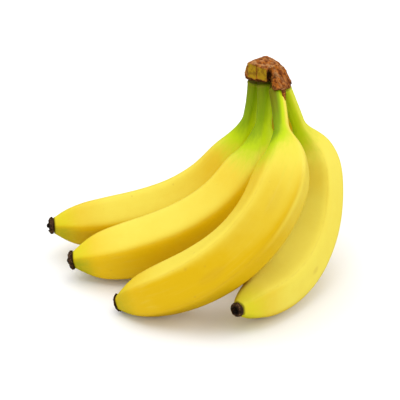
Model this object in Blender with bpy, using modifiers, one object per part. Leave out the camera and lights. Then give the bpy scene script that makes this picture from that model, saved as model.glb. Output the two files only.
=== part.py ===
"""A bunch of five bananas on one crown, lying crown up on the fruits' lower sides.

Each fruit is a loft of rounded five-sided sections along a flat curve that leaves the
crown, turns through a fixed angle and ends at the dried blossom end. The crown is the
torn woody stump that joins the stalks. Sizes are in millimetres and angles in degrees
until mesh_object turns them into metres.
"""
import math
from typing import NamedTuple

import bmesh
import bpy
import numpy as np
from mathutils import Vector

MM = 0.001
NAME = "banana_bunch"

# Places are measured from the stalk of banana_3, and BUNCH_AT puts that stalk in the part's frame.
BUNCH_AT = Vector((54.37, 12.99, 0.0))

# Gap between neighbours that touch on the real bunch.
CLEARANCE = 0.35
# How far each stalk runs up inside the crown, and its width there as a share of its own.
STALK_IN_CROWN = 6.0
STALK_END = 0.70

# The socket that holds a stalk runs down past it to these distances from its start.
SOCKET_RUN = (5.0, 12.0)

SIDES = 20
RIDGES = 5
# The higher the number, the sharper the ridges along the peel.
RIDGE_SHARPNESS = 8.0
RIDGE_RADIUS = 1.036

# Steps in which the centre line is followed, and where and over how much of it the shoulder bulges.
LINE_STEPS = 400
KICK_AT = 0.2
KICK_SPREAD = 0.06

# Radius of the stalk as a share of the fruit's radius.
STALK_SHARE = 0.268
# The belly rounds off from TIP_START on towards BLUNT_END, and a hollow cone cuts it down to the blossom end.
TIP_START = 0.55
TIP_POWER = 3.33
BLUNT_END = 0.47
CONE_SLOPE = 0.69
CONE_HOLLOW = 0.1
CONE_BLEND = 7.4

# The cap on the blossom end: distance from the peel, and radius as a share of the peel's end.
CAP_SIDES = 14
CAP_PROFILE = (
    (0.0, 0.92), (0.4, 1.03), (1.6, 1.06), (2.6, 0.96), (3.1, 0.74), (2.9, 0.44), (3.6, 0.30), (4.7, 0.18),
)
CAP_WAVE = 0.05
CAP_LOBES = 3.0


class Fruit(NamedTuple):
    """One banana: where it leaves the crown and how it bends and swells from there."""

    name: str
    stalk: tuple          # start of the centre line at the crown
    lean: tuple           # x and y of the unit direction in which it leaves the crown
    heading: float        # compass direction that it bends towards, from +X
    bend: float           # angle between its two ends
    early: float          # under 1, more of the bend lies near the stalk
    kick: float           # how far the shoulder bulges back against the bend
    length: float
    radius: float
    tip: float            # radius of the blossom end, as a share of the fruit's radius
    cap: float            # how far the dried cap stands out, 1 for a whole one
    shoulder: tuple       # where it widens from the stalk, and over how much of the length
    ridge: float          # angle of a ridge round the centre line, from the inside of the bend
    carries: bool         # True where the bunch rests on it


FRUITS = (
    Fruit("banana_1", (-12.9, 22.5, 124.0), (-0.031, 0.139), 191.8, 92.3, 0.759, 8.2, 200.9, 19.05,
          0.305, 1.0, (0.129, 0.259), 292.0, False),
    Fruit("banana_2", (-6.9, 11.5, 125.4), (0.053, -0.356), 176.2, 84.1, 0.693, 11.4, 196.8, 20.4,
          0.290, 1.0, (0.114, 0.264), 276.0, False),
    Fruit("banana_3", (0.1, -0.6, 126.75), (0.116, -0.809), 140.3, 94.9, 0.896, 10.6, 205.6, 19.0,
          0.290, 0.4, (0.124, 0.261), 274.0, True),
    Fruit("banana_4", (6.1, 9.4, 123.8), (0.382, -0.085), 229.9, 104.0, 0.996, 16.0, 191.0, 18.15,
          0.265, 1.0, (0.127, 0.236), 294.0, True),
    Fruit("banana_5", (-0.1, 21.9, 124.4), (0.222, 0.690), 242.5, 116.0, 0.856, 3.0, 164.8, 17.6,
          0.280, 1.0, (0.136, 0.271), 286.0, True),
)

# Shares of the length at which a fruit's sections stand: stalk, shoulder, belly and tip.
STATIONS = np.concatenate([
    np.linspace(0.0, 0.12, 5, endpoint=False),
    np.linspace(0.12, 0.30, 11, endpoint=False),
    np.linspace(0.30, 0.84, 12, endpoint=False),
    np.linspace(0.84, 0.96, 5, endpoint=False),
    np.linspace(0.96, 1.00, 4),
])

# The crown's lumps, each the hull of its corners.
CROWN_EDGE = 0.7
CORE = (
    (-18.6, 12.7, 129.3), (-19.0, 22.0, 127.0), (-13.0, 27.6, 127.0), (1.5, 27.8, 127.0),
    (9.5, 20.5, 127.2), (10.8, 9.0, 127.6), (3.0, 1.0, 130.4), (-12.0, 5.0, 131.0),
    (-20.3, 12.6, 133.3), (-18.6, 12.8, 141.0), (-15.8, 21.0, 139.4), (-6.0, 19.5, 143.9),
    (2.6, 17.0, 139.8), (-10.0, 4.0, 141.5), (0.0, 6.0, 140.4), (5.6, 12.0, 138.6),
)
TORN_FACE = (
    (-2.6, -6.2, 129.6), (2.2, -6.6, 129.4), (6.0, -3.6, 128.8), (9.6, 4.0, 126.8), (10.4, 9.5, 129.8),
    (-3.4, -2.6, 135.5), (-4.6, 3.5, 141.8), (1.2, 5.0, 141.6), (6.8, 8.6, 136.0), (-2.0, 12.0, 140.0),
    (-1.5, 6.0, 129.5), (6.5, 12.0, 129.0),
)
TONGUE = (
    (2.6, -6.6, 130.5), (5.6, -5.0, 130.5), (3.0, -8.4, 126.8), (5.4, -7.4, 126.4), (4.4, -10.0, 123.6),
    (3.6, -3.5, 128.0), (5.6, -3.5, 127.0), (4.6, -8.0, 123.4),
)
# Two stalks cut off flush: left and right end of each cut in plan, and its lowest and highest edge.
STUBS = (
    ((-18.3, 9.35), (-13.2, 4.4), 132.0, 142.6),
    ((-12.6, 4.1), (-6.6, -1.4), 134.0, 142.1),
)
STUB_DEPTH = 13.0
STUB_ROUNDING = 1.2

# Angles between faces above which an edge is drawn sharp, or is rounded.
SHARP_ANGLE = 50.0
BEVEL_ANGLE = 25.0
BEVEL_SEGMENTS = 2

BARK = ((0.36, 0.16, 0.045), 0.75)
DRIED = ((0.07, 0.04, 0.02), 0.85)
PEEL = ((0.80, 0.57, 0.03), 0.42)


def rise(share, shoulder):
    """Share of the way from stalk to full radius: a soft start and a long run-out."""
    start, span = shoulder
    u = np.clip((share - start) / span, 0.0, 1.0)
    return (1.0 - (1.0 - u) ** 3) ** 2


def radii(fruit, share):
    """Radius of the fruit at shares of its length."""
    widen = rise(share, fruit.shoulder)
    v = np.clip((share - TIP_START) / (1.0 - TIP_START), 0.0, 1.0)
    belly = np.sqrt(1.0 - (1.0 - BLUNT_END ** 2) * v ** TIP_POWER)
    left = np.maximum(1.0 - share, 0.0) * fruit.length
    cone = fruit.tip + CONE_SLOPE * left ** 2 / (left + CONE_HOLLOW) / fruit.radius
    taper = (belly ** -CONE_BLEND + cone ** -CONE_BLEND) ** (-1.0 / CONE_BLEND)
    inside = np.clip(-share * fruit.length / STALK_IN_CROWN, 0.0, 1.0)
    narrow = 1.0 - (1.0 - STALK_END) * inside
    return fruit.radius * (STALK_SHARE + (1.0 - STALK_SHARE) * widen) * taper * narrow


def directions(fruit, share):
    """Unit directions of the centre line, and the unit vector square to the plane of the bend."""
    lean_x, lean_y = fruit.lean
    start = np.array((lean_x, lean_y, -math.sqrt(1.0 - lean_x ** 2 - lean_y ** 2)))
    heading = math.radians(fruit.heading)
    level = np.array((math.cos(heading), math.sin(heading), 0.0))
    inward = level - start * (level @ start)
    inward /= np.linalg.norm(inward)
    done = (1.0 - np.cos(math.pi * share ** fruit.early)) / 2.0
    kick = fruit.kick * np.exp(-((share - KICK_AT) / KICK_SPREAD) ** 2)
    turn = np.radians(fruit.bend * done - kick)[:, None]
    return np.cos(turn) * start + np.sin(turn) * inward, np.cross(start, inward)


def centre_line(fruit, share):
    """Points and directions of the centre line; shares under 0 run straight back into the crown."""
    steps = np.linspace(0.0, 1.0, LINE_STEPS + 1)
    along, square = directions(fruit, steps)
    middle = (along[1:] + along[:-1]) / 2.0
    path = np.vstack([np.zeros(3), np.cumsum(middle, axis=0)]) * fruit.length / LINE_STEPS
    inside = np.clip(share, 0.0, 1.0)
    points = np.stack([np.interp(inside, steps, path[:, k]) for k in range(3)], axis=1)
    heads, _ = directions(fruit, inside)
    points += np.minimum(share, 0.0)[:, None] * heads * fruit.length
    return points + np.array(fruit.stalk), heads, square


def ridged(angle):
    """Radius of the five-sided section at angles from a ridge, 1 on the ridge."""
    step = 2.0 * math.pi / RIDGES

    def reach(a):
        faces = [np.maximum(np.cos(a - step * (k + 0.5)), 0.0) ** RIDGE_SHARPNESS for k in range(RIDGES)]
        return sum(faces) ** (-1.0 / RIDGE_SHARPNESS)

    return reach(angle) / reach(np.zeros(1))


def fruit_rings(fruit, share, grow=0.0):
    """Rings of points round the fruit, grown outwards for a cutter."""
    points, heads, square = centre_line(fruit, share)
    sizes = radii(fruit, share) * RIDGE_RADIUS + grow
    turn = np.arange(SIDES) * 2.0 * math.pi / SIDES
    section = ridged(turn)
    turn = turn + math.radians(fruit.ridge)
    rings = []
    for point, head, size in zip(points, heads, sizes):
        inward = np.cross(square, head)
        around = np.cos(turn)[:, None] * inward + np.sin(turn)[:, None] * square
        rings.append(point + around * (size * section)[:, None])
    return rings


def loft(rings):
    """A closed mesh through rings of equal size, capped at both ends."""
    bm = bmesh.new()
    rows = [[bm.verts.new(point) for point in ring] for ring in rings]
    for low, high in zip(rows, rows[1:]):
        for k, vert in enumerate(low):
            after = (k + 1) % len(low)
            bm.faces.new((vert, low[after], high[after], high[k]))
    bm.faces.new(rows[0])
    bm.faces.new(rows[-1])
    bmesh.ops.recalc_face_normals(bm, faces=bm.faces)
    return bm


def hull(corners):
    """The smallest closed shape round a few corners."""
    bm = bmesh.new()
    for corner in corners:
        bm.verts.new(corner)
    found = bmesh.ops.convex_hull(bm, input=bm.verts)
    spare = [item for item in found["geom_interior"] if isinstance(item, bmesh.types.BMVert)]
    bmesh.ops.delete(bm, geom=spare, context="VERTS")
    bmesh.ops.recalc_face_normals(bm, faces=bm.faces)
    return bm


def mesh_object(name, bm, collection, material=None):
    """Turns a mesh in millimetres into an object in metres in the part's frame."""
    bmesh.ops.translate(bm, verts=bm.verts, vec=BUNCH_AT)
    bmesh.ops.scale(bm, verts=bm.verts, vec=(MM, MM, MM))
    mesh = bpy.data.meshes.new(name)
    bm.to_mesh(mesh)
    bm.free()
    mesh.shade_smooth()
    mesh.set_sharp_from_angle(angle=math.radians(SHARP_ANGLE))
    obj = bpy.data.objects.new(name, mesh)
    collection.objects.link(obj)
    if material:
        mesh.materials.append(material)
    return obj


def finish_material(name, colour, roughness):
    """A plain Principled material."""
    material = bpy.data.materials.new(name)
    material.use_nodes = True
    material.diffuse_color = (*colour, 1.0)
    shader = material.node_tree.nodes["Principled BSDF"]
    shader.inputs["Base Color"].default_value = (*colour, 1.0)
    shader.inputs["Roughness"].default_value = roughness
    shader.inputs["Metallic"].default_value = 0.0
    return material


def press_flat(bm):
    """Cuts off what is below the floor and closes the cut with one flat spot."""
    everything = list(bm.verts) + list(bm.edges) + list(bm.faces)
    bmesh.ops.bisect_plane(bm, geom=everything, plane_co=(0.0, 0.0, 0.0), plane_no=(0.0, 0.0, -1.0),
                           clear_outer=True)
    rim = [edge for edge in bm.edges if edge.is_boundary]
    bmesh.ops.holes_fill(bm, edges=rim)
    bmesh.ops.recalc_face_normals(bm, faces=bm.faces)


def build_fruit(fruit, collection, material):
    """The peel of one banana with its stalk, open to the crown's socket."""
    share = np.concatenate([[-STALK_IN_CROWN / fruit.length], STATIONS])
    bm = loft(fruit_rings(fruit, share))
    if fruit.carries:
        press_flat(bm)
    return mesh_object(fruit.name, bm, collection, material)


def build_cap(fruit, collection, material):
    """The dried blossom end, a ragged button with a nub in its middle."""
    points, heads, square = centre_line(fruit, np.array([1.0]))
    head = heads[0]
    inward = np.cross(square, head)
    end_radius = float(radii(fruit, np.array([1.0]))[0])
    turn = np.arange(CAP_SIDES) * 2.0 * math.pi / CAP_SIDES
    rings = []
    for out, size in CAP_PROFILE:
        wave = 1.0 + CAP_WAVE * np.sin(CAP_LOBES * turn + out + fruit.length)
        around = np.cos(turn)[:, None] * inward + np.sin(turn)[:, None] * square
        rings.append(points[0] + head * (CLEARANCE + out * fruit.cap)
                     + around * (end_radius * size * wave)[:, None])
    return mesh_object(fruit.name.replace("banana", "blossom_end"), loft(rings), collection, material)


def stub_corners(stub):
    """Corners of one cut-off stalk, running back from its cut face into the crown."""
    (x0, y0), (x1, y1), low, high = stub
    width = math.hypot(x1 - x0, y1 - y0)
    back = (-(y1 - y0) / width * STUB_DEPTH, (x1 - x0) / width * STUB_DEPTH)
    corners = []
    for x, y in ((x0, y0), (x1, y1), (x0 + back[0], y0 + back[1]), (x1 + back[0], y1 + back[1])):
        corners += [(x, y, low), (x, y, high)]
    return corners


def boolean(obj, operation, collection):
    """Adds a Boolean with every object of a collection."""
    modifier = obj.modifiers.new(operation.title(), "BOOLEAN")
    modifier.operation = operation
    modifier.operand_type = "COLLECTION"
    modifier.collection = collection
    modifier.solver = "EXACT"


def build_crown(collection, cutters, material):
    """The stump: a core, a torn face with a tongue, and two cut stalks, with sockets for the fruits."""
    lumps = bpy.data.collections.new("crown_lumps")
    sockets = bpy.data.collections.new("crown_sockets")
    for group in (lumps, sockets):
        cutters.children.link(group)
    shapes = [("torn_face", TORN_FACE, CROWN_EDGE), ("tongue", TONGUE, CROWN_EDGE)]
    shapes += [(f"stub_{k}", stub_corners(stub), STUB_ROUNDING) for k, stub in enumerate(STUBS, 1)]
    crown = mesh_object("crown", hull(CORE), collection, material)
    soften(crown, CROWN_EDGE)
    for name, corners, edge in shapes:
        soften(hide(mesh_object(name, hull(corners), lumps)), edge)
    for fruit in FRUITS:
        share = np.array([-STALK_IN_CROWN - CLEARANCE, 0.0, *SOCKET_RUN]) / fruit.length
        hide(mesh_object(f"{fruit.name}_socket", loft(fruit_rings(fruit, share, CLEARANCE)), sockets))
    boolean(crown, "UNION", lumps)
    boolean(crown, "DIFFERENCE", sockets)
    return crown


def soften(obj, width):
    """Rounds the edges of a lump."""
    bevel = obj.modifiers.new("Bevel", "BEVEL")
    bevel.width = width * MM
    bevel.segments = BEVEL_SEGMENTS
    bevel.limit_method = "ANGLE"
    bevel.angle_limit = math.radians(BEVEL_ANGLE)


def hide(obj):
    """Marks a helper that isn't part of the object."""
    obj.hide_render = True
    obj.display_type = "WIRE"
    return obj


def main():
    """Builds the bunch."""
    for obj in list(bpy.data.objects):
        bpy.data.objects.remove(obj)
    part = bpy.data.collections.new(NAME)
    cutters = bpy.data.collections.new(f"{NAME}_helpers")
    bpy.context.scene.collection.children.link(part)
    bpy.context.scene.collection.children.link(cutters)

    bark = finish_material("crown_bark", *BARK)
    dried = finish_material("dried_blossom_end", *DRIED)
    for fruit in FRUITS:
        peel = finish_material(f"peel_{fruit.name}", *PEEL)
        build_fruit(fruit, part, peel)
        build_cap(fruit, part, dried)
    build_crown(part, cutters, bark)


main()
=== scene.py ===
"""Looks of a bunch of five bananas on one torn crown, standing on a pale floor.

Every fruit is a fine loft of five-sided sections along a flat bent line, in the place of
the frame's solid of the same name. The crown and the dried blossom ends are finer pieces
of the same form as their solids. Lengths in the classes are millimetres and angles are
degrees; meshes are made in metres in the frame's own coordinates.
"""
from __future__ import annotations

import logging
import math
from collections.abc import Iterator
from contextlib import contextmanager
from dataclasses import dataclass, field
from enum import Enum

import bmesh
import bpy
import numpy as np
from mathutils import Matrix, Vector, noise

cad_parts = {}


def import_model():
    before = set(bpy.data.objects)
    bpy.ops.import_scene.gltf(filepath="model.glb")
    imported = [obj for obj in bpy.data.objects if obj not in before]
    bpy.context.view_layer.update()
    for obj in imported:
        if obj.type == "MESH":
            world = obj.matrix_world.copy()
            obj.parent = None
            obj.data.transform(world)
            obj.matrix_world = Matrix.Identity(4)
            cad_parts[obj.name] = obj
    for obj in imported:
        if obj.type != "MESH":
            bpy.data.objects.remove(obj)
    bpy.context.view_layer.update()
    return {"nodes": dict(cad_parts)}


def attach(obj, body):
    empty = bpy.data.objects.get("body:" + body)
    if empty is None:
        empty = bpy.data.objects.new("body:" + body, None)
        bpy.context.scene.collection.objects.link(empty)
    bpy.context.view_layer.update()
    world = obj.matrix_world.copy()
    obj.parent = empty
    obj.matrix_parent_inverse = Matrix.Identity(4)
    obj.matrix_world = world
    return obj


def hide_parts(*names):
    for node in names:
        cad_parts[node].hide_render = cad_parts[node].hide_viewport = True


Array = np.ndarray
Items = bpy.types.bpy_prop_collection
Material = bpy.types.Material
Mesh = bpy.types.Mesh
Node = bpy.types.Node
Object = bpy.types.Object
Socket = bpy.types.NodeSocket
Tree = bpy.types.NodeTree

MM = 0.001
TURN = 2.0 * math.pi
ROOT_BODY = "root"
# Point of the floor, close under banana_3's stalk, that the bunch's places count from.
BUNCH_AT = np.array((54.37, 12.99, 0.0))

log = logging.getLogger("banana_bunch")


class Slot(Enum):
    """Names of material slots."""

    PEEL = "peel"
    CROWN = "crown_bark"
    DRIED = "dried_end"


class Attr(Enum):
    """Vertex attributes that the finishes read."""

    SKIN = "skin"          # place on the fruit as if it were straight, in millimetres, the third along it
    ALONG = "along"        # 0 at the crown, 1 at the blossom end
    RIDGE = "ridge"        # 0 on a ridge, 1 midway between two
    GREEN = "green"        # how unripe the peel is
    PALE_AND_LIT = "tone"          # painted light: 0 shaded deep gold, 1 lit pale lemon, with each fruit's own paleness
    LIP = "lip"            # pale torn lip round the top of the stalk
    LIP_SHADE_AND_TIP_BROWN = "shade"        # painted shade above the lip where the stalk enters the crown, and browned skin at the blossom end
    SEAM = "seam"          # painted shade where a neighbouring fruit lies close, with some browning where they touch
    MOSS = "moss"          # olive skin round the blossom end
    BRUISE = "bruise"      # rubbed and bruised spots
    CUT = "cut"            # freshly cut stalk on the crown
    HOLLOW_SHADE = "hollow"      # painted shade in the crown's recesses and crevices and under it, and darker right-facing sides
    TORN = "torn"          # where the crown's fibres are torn
    STRAW = "straw"        # dry pale fibre on the crown
    RIM = "rim"            # how near the outer rim of a blossom end


@dataclass(frozen=True)
class Ease:
    """Soft step from 0 at low to 1 at high."""

    low: float
    high: float

    def __call__(self, value: Array | float) -> Array:
        """Gives the step at some numbers."""
        u = np.clip((value - self.low) / (self.high - self.low), 0.0, 1.0)
        return u * u * (3.0 - 2.0 * u)

    def out(self, value: Array | float) -> Array:
        """Gives the step the other way round, from 1 at low to 0 at high."""
        return 1.0 - self(value)


def hump(value: Array, at: float, width: float) -> Array:
    """Gives a soft hump, 1 high at a place and gone some widths away."""
    return np.exp(-((value - at) / width) ** 2)


def wave(points: Array, scale: float, seed: float) -> Array:
    """Gives soft noise at points.

    Args:
        points: Rows of three coordinates.
        scale: Waves per unit of the coordinates.
        seed: Shift that picks another pattern.

    Returns:
        One number in about -1 to 1 for each row.
    """
    shift = Vector((seed * 7.31, seed * 3.17, seed * 5.73))
    return np.array([noise.noise(Vector(p) * scale + shift) for p in points.tolist()])


def unit(vector: Array) -> Array:
    """Gives a vector the length 1."""
    return vector / np.linalg.norm(vector)


def circle(sides: int) -> Array:
    """Gives the angles of even places round a circle, in radians."""
    return np.arange(sides) * TURN / sides


def spokes(angle: Array, head: Array, square: Array) -> Array:
    """Gives directions round a bent line, counted from the inside of its bend.

    Args:
        angle: Angles in radians.
        head: The line's unit direction.
        square: Unit normal of the plane that the line bends in.

    Returns:
        One unit direction for each angle.
    """
    inward = np.cross(square, head)
    return np.cos(angle)[:, None] * inward + np.sin(angle)[:, None] * square


class Graph:
    """Short way to place and link shader or geometry nodes in a tree."""

    def __init__(self, tree: Tree) -> None:
        """Keeps the tree that nodes are placed in."""
        self.tree = tree

    def feed(self, socket: Socket, value: object) -> None:
        """Links a socket to an input, or sets the input's own value.

        Args:
            socket: The input.
            value: The socket that feeds it, or its value.
        """
        if isinstance(value, Socket):
            self.tree.links.new(value, socket)
        else:
            socket.default_value = value

    def node(self, kind: str, inputs: dict | None = None, **settings: object) -> Node:
        """Adds a node.

        Args:
            kind: Blender's name of the node's class.
            inputs: Input names or numbers with a value or the socket that feeds them.
            **settings: Properties of the node.

        Returns:
            The new node.
        """
        made = self.tree.nodes.new(kind)
        for name, value in settings.items():
            setattr(made, name, value)
        for key, value in (inputs or {}).items():
            self.feed(made.inputs[key], value)
        return made

    def calc(self, operation: str, *values: object, clamp: bool = False) -> Socket:
        """Adds a Math node and returns its result."""
        made = self.node("ShaderNodeMath", dict(enumerate(values)), operation=operation, use_clamp=clamp)
        return made.outputs[0]

    def times(self, first: object, second: object) -> Socket:
        """Multiplies two values."""
        return self.calc("MULTIPLY", first, second)

    def plus(self, first: object, second: object, clamp: bool = False) -> Socket:
        """Adds two values."""
        return self.calc("ADD", first, second, clamp=clamp)

    def swing(self, value: Socket, amount: object) -> Socket:
        """Turns noise from 0 to 1 into a swing about 0, as wide as the amount."""
        return self.times(self.calc("SUBTRACT", value, 0.5), amount)

    def vector(self, operation: str, *values: object) -> Socket:
        """Adds a Vector Math node and returns its vector."""
        return self.node("ShaderNodeVectorMath", dict(enumerate(values)), operation=operation).outputs[0]

    def scaled(self, vector: Socket, amount: object) -> Socket:
        """Scales a vector by a number."""
        return self.node("ShaderNodeVectorMath", {0: vector, "Scale": amount}, operation="SCALE").outputs[0]

    def ease(self, value: object, low: float, high: object, start: float = 0.0, end: float = 1.0) -> Socket:
        """Eases a value from start at low to end at high, and returns the result."""
        return self.node("ShaderNodeMapRange", {
            "Value": value, "From Min": low, "From Max": high, "To Min": start, "To Max": end},
            interpolation_type="SMOOTHSTEP").outputs[0]

    def mix(self, factor: object, first: object, second: object) -> Socket:
        """Mixes two colours and returns the result."""
        return self.node("ShaderNodeMix", {0: factor, 6: first, 7: second}, data_type="RGBA").outputs[2]

    def coats(self, colour: object, *coats: tuple) -> Socket:
        """Lays coats over a colour.

        Args:
            colour: The colour under them.
            *coats: Each coat's mask and colour, the lowest first.

        Returns:
            The covered colour.
        """
        for mask, coat in coats:
            colour = self.mix(mask, colour, coat)
        return colour

    def mask(self, attr: Attr) -> Socket:
        """Reads a number that the piece's mesh stores."""
        return self.node("ShaderNodeAttribute", attribute_name=attr.value).outputs["Fac"]

    def effect(self, group: Tree, **inputs: object) -> Socket:
        """Places a node group with its own values and returns what it puts out."""
        return self.node("ShaderNodeGroup", inputs, node_tree=group).outputs[0]


class MaterialGraph(Graph):
    """Graph of a new material, round its Principled shader."""

    def __init__(self, name: str) -> None:
        """Starts the material.

        Args:
            name: The material's name.
        """
        self.material = bpy.data.materials.new(name)
        self.material.use_nodes = True
        super().__init__(self.material.node_tree)
        self.shader = self.tree.nodes["Principled BSDF"]

    def bump(self, height: Socket, strength: float, distance: float) -> None:
        """Gives the shader its bump, with the distance in metres."""
        bump = self.node("ShaderNodeBump", {"Strength": strength, "Distance": distance, "Height": height})
        self.feed(self.shader.inputs["Normal"], bump.outputs[0])

    def dress(self, colour: object, roughness: object, specular: float) -> Material:
        """Sets the shader's colour, roughness and specular level.

        Args:
            colour: Base colour, a socket or a value.
            roughness: Roughness, a socket or a value.
            specular: Specular level.

        Returns:
            The finished material.
        """
        self.feed(self.shader.inputs["Base Color"], colour)
        self.feed(self.shader.inputs["Roughness"], roughness)
        self.shader.inputs["Specular IOR Level"].default_value = specular
        return self.material


def new_tree(kind: str, name: str, output: tuple, inputs: dict) -> tuple[Graph, Items, Socket]:
    """Starts a node group or a Geometry Nodes tree.

    Args:
        kind: Blender's name of the tree's class.
        name: The tree's name.
        output: Label and kind of what it puts out.
        inputs: Labels of its inputs, each with its first value, or with its kind where it has none.

    Returns:
        The tree's graph, the sockets of its inputs by label, and the socket of its output.
    """
    tree = bpy.data.node_groups.new(name, kind)
    kinds = {float: "Float", int: "Int", tuple: "Vector"}
    for label, first in inputs.items():
        sort = first if isinstance(first, str) else kinds[type(first)]
        socket = tree.interface.new_socket(label, in_out="INPUT", socket_type=f"NodeSocket{sort}")
        if sort is not first:
            socket.default_value = first
    tree.interface.new_socket(output[0], in_out="OUTPUT", socket_type=f"NodeSocket{output[1]}")
    given, result = tree.nodes.new("NodeGroupInput"), tree.nodes.new("NodeGroupOutput")
    return Graph(tree), given.outputs, result.inputs[0]


class Effects:
    """Shader node groups that several finishes share."""

    def __init__(self) -> None:
        """Builds every group once."""
        self.fleck = self._fleck()
        self.grain = self._grain()
        self.mottle = self._mottle()

    def _fleck(self) -> Tree:
        """Builds small scattered dots, of which only a share shows.

        Returns:
            A group with Vector, Scale, Size and Share in, and Mask out.
        """
        graph, given, result = new_tree("ShaderNodeTree", "fleck", ("Mask", "Float"), {
            "Vector": "Vector", "Scale": 0.3, "Size": 0.2, "Share": 0.3})
        bend = graph.node("ShaderNodeTexNoise", {"Vector": given["Vector"], "Scale": 1.7, "Detail": 2.0})
        shake = graph.vector("SUBTRACT", bend.outputs["Color"], (0.5, 0.5, 0.5))
        shaken = graph.vector("ADD", given["Vector"], shake)
        cells = graph.node("ShaderNodeTexVoronoi", {"Vector": shaken, "Scale": given["Scale"]})
        draw = graph.node("ShaderNodeSeparateColor", {"Color": cells.outputs["Color"]}).outputs
        chosen = graph.calc("LESS_THAN", draw[0], given["Share"])
        size = graph.times(given["Size"], graph.plus(draw[1], 0.35))
        dot = graph.ease(cells.outputs["Distance"], graph.times(size, 0.35), size, 1.0, 0.0)
        graph.feed(result, graph.times(dot, chosen))
        return graph.tree

    def _grain(self) -> Tree:
        """Builds fine streaks that run along the third coordinate.

        Returns:
            A group with Vector, Across and Along in, and Value out.
        """
        graph, given, result = new_tree("ShaderNodeTree", "grain", ("Value", "Float"), {
            "Vector": "Vector", "Across": 1.0, "Along": 0.05})
        across, along = given["Across"], given["Along"]
        scale = graph.node("ShaderNodeCombineXYZ", {"X": across, "Y": across, "Z": along})
        stretched = graph.vector("MULTIPLY", given["Vector"], scale.outputs[0])
        graph.feed(result, self._noise(graph, stretched, 1.0, 5.0, 0.6))
        return graph.tree

    def _mottle(self) -> Tree:
        """Builds cloudy patches of two sizes.

        Returns:
            A group with Vector, Scale and Contrast in, and Value out.
        """
        graph, given, result = new_tree("ShaderNodeTree", "mottle", ("Value", "Float"), {
            "Vector": "Vector", "Scale": 0.05, "Contrast": 1.0})
        wide = self._noise(graph, given["Vector"], given["Scale"], 3.0, 0.5)
        close = self._noise(graph, given["Vector"], graph.times(given["Scale"], 6.3), 3.0, 0.6)
        both = graph.plus(graph.times(wide, 0.65), graph.times(close, 0.35))
        graph.feed(result, graph.plus(graph.swing(both, given["Contrast"]), 0.5, clamp=True))
        return graph.tree

    @staticmethod
    def _noise(graph: Graph, vector: Socket, scale: object, detail: float, rough: float) -> Socket:
        """Adds a Noise Texture and returns its value."""
        return graph.node("ShaderNodeTexNoise", {
            "Vector": vector, "Scale": scale, "Detail": detail, "Roughness": rough}).outputs[0]


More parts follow.
